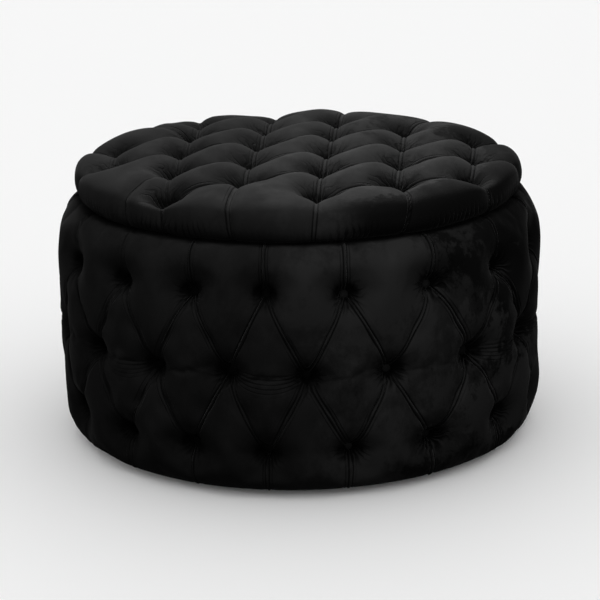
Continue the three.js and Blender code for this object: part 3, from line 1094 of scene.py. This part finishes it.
def hem_folds(m, place):
    """Gathers across the lid's hem, in clusters round it."""
    turn = m.maths("ARCTAN2", place["Y"], place["X"])
    wave = m.cosine(m.times(turn, HEM_GATHERS), m.times(m.noise(14), 22))
    clusters = m.between(m.noise(5), 0.40, 0.52, 0.1, 1)
    return m.times(m.between(wave, 0.1, 0.95), m.attribute("hem"), clusters)


def button_folds(m, right, lid):
    """Gathers that fan out from a button: painted shade on their shaded sides, painted highlight on
    their lit sides, and the painted shade round the button, lighter on the slope below it.
    """
    near = m.attribute("button_near")
    turn = m.maths("ARCTAN2", m.attribute("button_y"), m.attribute("button_x"))
    rays = m.cosine(m.times(turn, FAN_RAYS), m.times(m.noise(24, detail=2), 30))
    end = m.between(lid, 0, 1, *FAN_ENDS)
    strong = m.between(m.maths("MAXIMUM", right, lid), 0, 1, 0.4, 1.25)
    patchy = m.between(m.noise(6), 0.36, 0.54, 0.45, 1)
    reach = m.times(m.between(near, *FAN_START), m.between(near, end, FAN_FULL), strong, patchy)
    fan = m.times(m.between(rays, 0.2, 0.95), reach)
    below = m.between(m.maths("SINE", turn), 0.3, -0.6)
    # Painted highlight on the gathers' sides below a button.
    lit = m.times(m.between(rays, -0.1, -0.9), reach, below)
    # Less painted shade on the slope below a button, which faces up into the light.
    slope = m.times(below, m.between(near, 0.009, 0.017))
    painted_shade_and_pressed_pile = m.times(m.attribute("painted_shade_and_pressed_pile"), m.between(slope, 0, 1, 1, 0.78))
    return fan, lit, painted_shade_and_pressed_pile


def lining_cloth(name, colour, lighter, pitch):
    """A plain weave. Its threads run round the cavity's wall and up it, or both ways across a flat sheet."""
    m = Shader(name, colour, 0.85, {"Sheen Weight": 0.1, "Sheen Roughness": 0.5, "Specular IOR Level": 0.2})
    place = m.split(m.where)
    normal = m.split(m.node("NewGeometry").outputs["Normal"])
    flat = m.between(m.maths("ABSOLUTE", normal["Z"]), 0.4, 0.6)
    round_wall = m.times(m.maths("ARCTAN2", place["Y"], place["X"]), CAVITY_RADIUS)
    warp = m.between(flat, 0, 1, round_wall, place["X"])
    weft = m.between(flat, 0, 1, place["Z"], place["Y"])
    warp, weft = (m.maths("SINE", m.times(thread, FULL_TURN / pitch)) for thread in (warp, weft))
    weave = m.times(warp, weft)
    uneven = m.noise(14, detail=5)
    slubs = m.noise(160, detail=3)
    shade = m.times(m.between(weave, -1, 1), m.between(slubs, *MOST_OF_NOISE, 0.5, 1))
    m.link(m.mix(m.times(shade, m.between(uneven, 0.2, 0.8, 0.5, 1)), colour, lighter), "Base Color")
    m.vary_roughness(uneven, 0.78, 0.92)
    m.bump(weave, 0.0003, 0.5)
    return m.material


def wood(name, dark, light, grain):
    """Sawn wood: grain stretched by `grain`, growth bands and pores."""
    m = Shader(name, light, 0.6, {"Specular IOR Level": 0.35})
    along = m.stretched(grain)
    bands = m.noise(14, detail=6, roughness=0.6, distortion=1.2, where=along)
    pores = m.noise(160, detail=3, where=along)
    m.link(m.mix(m.between(bands, *MOST_OF_NOISE), dark, light), "Base Color")
    m.vary_roughness(pores, 0.52, 0.72)
    m.bump(pores, 0.0004, 0.4)
    return m.material


def board(name, dark, light):
    """Pressed fibre board: mottled, with short fibres."""
    m = Shader(name, light, 0.5, {"Specular IOR Level": 0.4})
    fibres = m.noise(220, detail=5, roughness=0.7)
    clouds = m.noise(9, detail=4)
    mottle = m.times(m.between(fibres, 0.25, 0.75), m.between(clouds, *MOST_OF_NOISE, 0.6, 1))
    m.link(m.mix(mottle, dark, light), "Base Color")
    m.vary_roughness(fibres, 0.45, 0.62)
    m.bump(fibres, 0.0002, 0.4)
    return m.material


def plastic():
    """Moulded black plastic: finely grained and a little scuffed."""
    m = Shader("plastic", grey(0.01), 0.45, {"Specular IOR Level": 0.5})
    scuffs = m.noise(60, detail=6, roughness=0.7)
    m.link(m.mix(m.between(scuffs, 0.45, 0.75), grey(0.009), grey(0.022)), "Base Color")
    m.vary_roughness(scuffs, 0.38, 0.58)
    m.bump(m.noise(700, detail=2), 0.0002, 0.3)
    return m.material


def steel():
    """Plated screw steel with turning marks."""
    dark, light = (0.40, 0.42, 0.44, 1), (0.56, 0.58, 0.60, 1)
    m = Shader("steel", dark, 0.35, {"Metallic": 1.0})
    marks = m.noise(500, detail=3, where=m.stretched((1, 1, 6)))
    m.link(m.mix(m.between(marks, *MOST_OF_NOISE), dark, light), "Base Color")
    m.vary_roughness(marks, 0.28, 0.45)
    m.bump(marks, 0.0001, 0.3)
    return m.material


def floor_paint():
    m = Shader("floor", grey(0.93), 0.7, {})
    m.bump(m.noise(120, detail=3), 0.0002, 0.1)
    return m.material


# -------- assembly

MATERIALS = {
    "velvet": velvet(),
    "lining": lining_cloth("lining", (0.008, 0.008, 0.0085, 1), (0.021, 0.021, 0.022, 1), pitch=0.0024),
    "dust_cloth": lining_cloth("dust_cloth", grey(0.005), grey(0.012), pitch=0.0016),
    "plywood": wood("plywood", (0.36, 0.19, 0.075, 1), (0.54, 0.33, 0.15, 1), (0.25, 2.5, 9)),
    "pine": wood("pine", (0.50, 0.27, 0.10, 1), (0.66, 0.43, 0.20, 1), (3, 3, 0.3)),
    "hardboard": board("hardboard", (0.10, 0.045, 0.018, 1), (0.22, 0.11, 0.05, 1)),
    "plastic": plastic(),
    "steel": steel(),
}
SLOT_OF_PREFIX = {
    "lid_screw": "steel", "glide_screw": "steel", "glide": "plastic", "wall_board": "hardboard",
    "storage_floor": "lining", "upper_post": "pine", "lower_post": "pine",
}


def add_piece(piece, slot, body, *replaced):
    """Gives a piece its finish and its body, and hides the nodes that it stands for."""
    piece.data.materials.append(MATERIALS[slot])
    piece.data.polygons.foreach_set("use_smooth", [True] * len(piece.data.polygons))
    piece.data.update()
    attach(piece, body)
    if replaced:
        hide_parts(*replaced)
    return piece


drum_velvet = add_piece(side_piece(), "velvet", "drum", "side_cover", "side_foam")
lid_velvet = add_piece(lid_piece(), "velvet", "lid", "lid_cover", "lid_foam")
covered = [drum_velvet, lid_velvet]
for button, body in make_buttons():
    covered.append(add_piece(button, "velvet", body))

wall = tube_piece("cavity_wall_lining", CAVITY_RADIUS, LINING_HIGH.x, LINING_LOW.z, LINING_HIGH.z)
add_piece(wall, "lining", "drum", "cavity_lining")

for name, node, body, slot, held_by in (
    ("lid_lining_cloth", "lid_lining", "lid", "lining", "lid_board"),
    ("dust_cloth_sheet", "dust_cover", "drum", "dust_cloth", "base_board"),
):
    low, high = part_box(node)
    sheet = add_piece(disc_piece(name, high.x, low.z, high.z), slot, body, node)

for name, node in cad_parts.items():
    finish = next((s for prefix, s in SLOT_OF_PREFIX.items() if name.startswith(prefix)), "plywood")
    for material_slot in node.material_slots:
        material_slot.link = "OBJECT"
        material_slot.material = MATERIALS[finish]

# -------- stage, lights and camera

bpy.ops.mesh.primitive_plane_add(size=30)
floor = bpy.context.object
floor.name = "floor"
floor.data.materials.append(floor_paint())

world = bpy.data.worlds.new("studio")
bpy.context.scene.world = world
world.use_nodes = True
background = world.node_tree.nodes["Background"].inputs
background["Color"].default_value = grey(1)
background["Strength"].default_value = 1.0

# The studio lights fall on the black velvet only: the white room lights the rest.
velvet_pieces = bpy.data.collections.new("velvet_pieces")
for piece in covered:
    velvet_pieces.objects.link(piece)


def soft_light(name, place, target, size, power):
    """A round lamp at `place` that faces `target`."""
    data = bpy.data.lights.new(name, "AREA")
    data.shape = "DISK"
    data.size = size
    data.energy = power
    light = add_object(name, data)
    light.location = place
    light.rotation_euler = (Vector(target) - Vector(place)).to_track_quat("-Z", "Y").to_euler()
    light.light_linking.receiver_collection = velvet_pieces


soft_light("back", (-0.1, 1.3, 2.0), (0, 0, 0.4), size=0.9, power=360)
soft_light("front", (0.3, -2.6, 1.3), (0, 0, 0.25), size=0.9, power=120)
soft_light("overhead", (0.1, -1.1, 2.1), (0, 0, 0.35), size=0.8, power=200)
soft_light("left", (-1.4, -0.4, 2.2), (0, 0, 0.35), size=0.9, power=80)

CAMERA_DISTANCE = 3.574
CAMERA_PITCH = math.radians(16.7)
CAMERA_ROLL = math.radians(-1.17)
CAMERA_TARGET = Vector((0, 0, 0.215))

camera_data = bpy.data.cameras.new("camera")
camera_data.lens = 120
camera_data.sensor_width = 36
camera = add_object("camera", camera_data)
back = Vector((0, -math.cos(CAMERA_PITCH), math.sin(CAMERA_PITCH)))
camera.location = CAMERA_TARGET + back * CAMERA_DISTANCE
facing = (-back).to_track_quat("-Z", "Y").to_matrix().to_4x4()
camera.rotation_euler = (facing @ Matrix.Rotation(CAMERA_ROLL, 4, "Z")).to_euler()
bpy.context.scene.camera = camera

view_settings = bpy.context.scene.view_settings
view_settings.view_transform = "Standard"
view_settings.look = "None"
